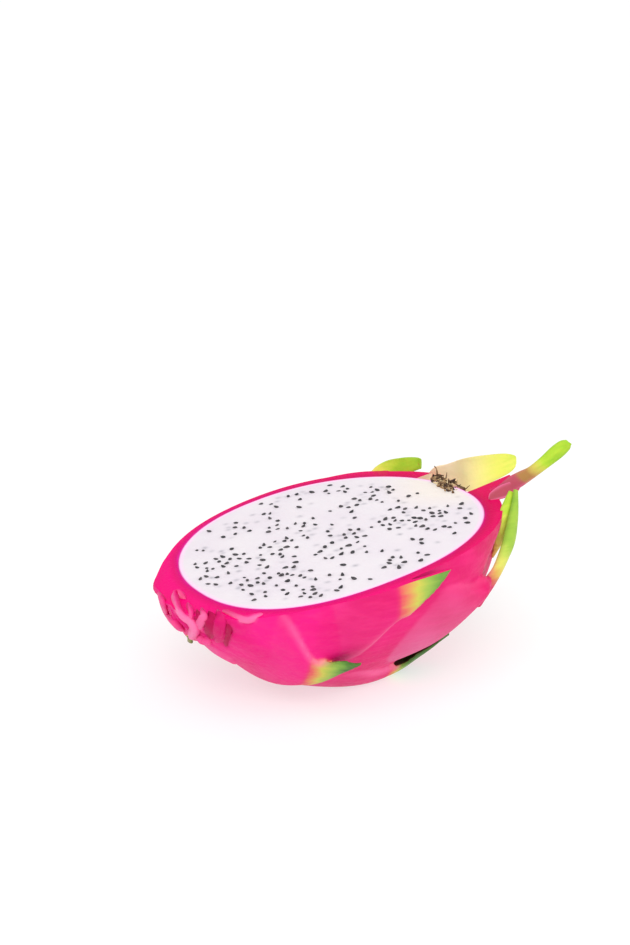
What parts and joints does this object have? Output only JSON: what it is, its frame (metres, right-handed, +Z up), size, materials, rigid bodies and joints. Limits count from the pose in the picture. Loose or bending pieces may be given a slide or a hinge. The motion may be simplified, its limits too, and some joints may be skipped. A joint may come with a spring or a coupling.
{
  "type": "dragon fruit half",
  "caption": "Half of a dragon fruit cut lengthwise, lying on its scaly magenta rind with the seeded white flesh facing up.",
  "frame": {"origin": "the middle of the small flat spot on the underside that the half rests on", "axes": "+Z up; +X along the fruit from its stem end to its flower end; the cut face looks up and 7.8 degrees towards the stem end"},
  "size_m": [0.1572, 0.103, 0.0681],
  "materials": {
    "rind": "natural skin, satin, magenta with green scale tips",
    "flesh": "moist fruit flesh, white with black seeds",
    "flower_scar": "dry brown plant fibre"
  },
  "bodies": {
    "root": {"rind": "rind", "flesh": "flesh", "flower_scar": "flower_scar"}
  },
  "joints": []
}
